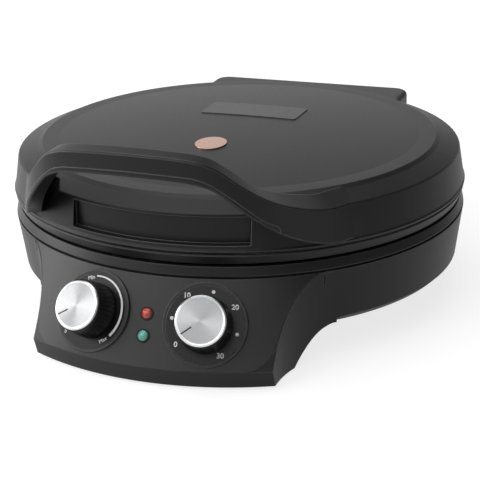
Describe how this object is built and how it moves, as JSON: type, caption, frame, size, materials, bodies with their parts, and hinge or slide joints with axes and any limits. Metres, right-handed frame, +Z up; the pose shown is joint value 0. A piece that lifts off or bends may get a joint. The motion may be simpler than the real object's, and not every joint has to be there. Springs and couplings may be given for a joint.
{
  "type": "electric pizza maker",
  "caption": "Round countertop pizza maker: domed lid with a bowed front handle, hinged at the rear to a tub with a sloping control pod carrying a thermostat knob, a timer knob and lamps.",
  "frame": {"origin": "middle of the footprint on the table, under the feet", "axes": "+Z up, -Y towards the handle and the control panel, +X to the right of someone facing the panel"},
  "size_m": [0.345, 0.408, 0.1678],
  "materials": {
    "housing_plastic": "fine moulded texture, satin",
    "panel_plastic": "fine moulded texture, satin",
    "cover_plastic": "moulded, satin",
    "lid_plastic": "fine moulded texture, satin",
    "rim_plastic": "moulded, satin, darker",
    "pad_plastic": "coarse grained inlay",
    "foot_rubber": "matte",
    "gland_rubber": "matte",
    "coated_plate": "die-cast with a dark release coating",
    "heater_steel": "heat-toned steel sheath",
    "reflector_metal": "bright sheet",
    "screw_steel": "plated",
    "pin_steel": "drawn bar",
    "terminal_plastic": "moulded, natural",
    "switch_plastic": "moulded phenolic",
    "dial_plastic": "printed disc, satin gloss",
    "bezel_plastic": "moulded, glossy",
    "red_lens": "tinted clear",
    "green_lens": "tinted clear",
    "badge_metal": "rose-toned, polished",
    "knob_plastic": "moulded, ribbed",
    "cap_aluminium": "spun face with a bright bevel"
  },
  "bodies": {
    "base": {"base_housing": "housing_plastic", "control_panel": "panel_plastic", "pod_cover": "cover_plastic", "rear_cover": "cover_plastic", "front_feet": "foot_rubber", "rear_feet": "foot_rubber", "base_rim_ring": "rim_plastic", "lower_heating_plate": "coated_plate", "lower_heating_element": "heater_steel", "lower_reflector": "reflector_metal", "lower_plate_screws": "screw_steel", "hinge_pin": "pin_steel", "cord_gland": "gland_rubber", "terminal_block": "terminal_plastic", "thermostat_switch": "switch_plastic", "timer_switch": "switch_plastic", "thermostat_dial": "dial_plastic", "timer_dial": "dial_plastic", "red_lamp_lens": "red_lens", "green_lamp_lens": "green_lens", "lamp_bezels": "bezel_plastic", "lamp_holders": "terminal_plastic"},
    "lid": {"lid_shell": "lid_plastic", "handle_lower_cover": "lid_plastic", "lid_rim_ring": "rim_plastic", "upper_heating_plate": "coated_plate", "upper_heating_element": "heater_steel", "upper_reflector": "reflector_metal", "upper_plate_screws": "screw_steel", "lid_ring_screws": "screw_steel", "lid_top_pad": "pad_plastic", "lid_badge": "badge_metal"},
    "thermostat_control": {"thermostat_knob": "knob_plastic", "thermostat_knob_cap": "cap_aluminium", "thermostat_shaft": "screw_steel"},
    "timer_control": {"timer_knob": "knob_plastic", "timer_knob_cap": "cap_aluminium", "timer_shaft": "screw_steel"}
  },
  "joints": [
    {"name": "lid_hinge", "type": "hinge", "parent": "base", "child": "lid", "pos_m": [0, 0.193, 0.0705], "axis": [-1, 0, 0], "range_deg": [0, 100]},
    {"name": "thermostat_turn", "type": "hinge", "parent": "base", "child": "thermostat_control", "pos_m": [-0.04072, -0.17366, 0.0415], "axis": [0.184, 0.8298, -0.5269], "range_deg": [0, 270]},
    {"name": "timer_turn", "type": "hinge", "parent": "base", "child": "timer_control", "pos_m": [0.04072, -0.17366, 0.0415], "axis": [-0.184, 0.8298, -0.5269], "range_deg": [0, 270]}
  ]
}
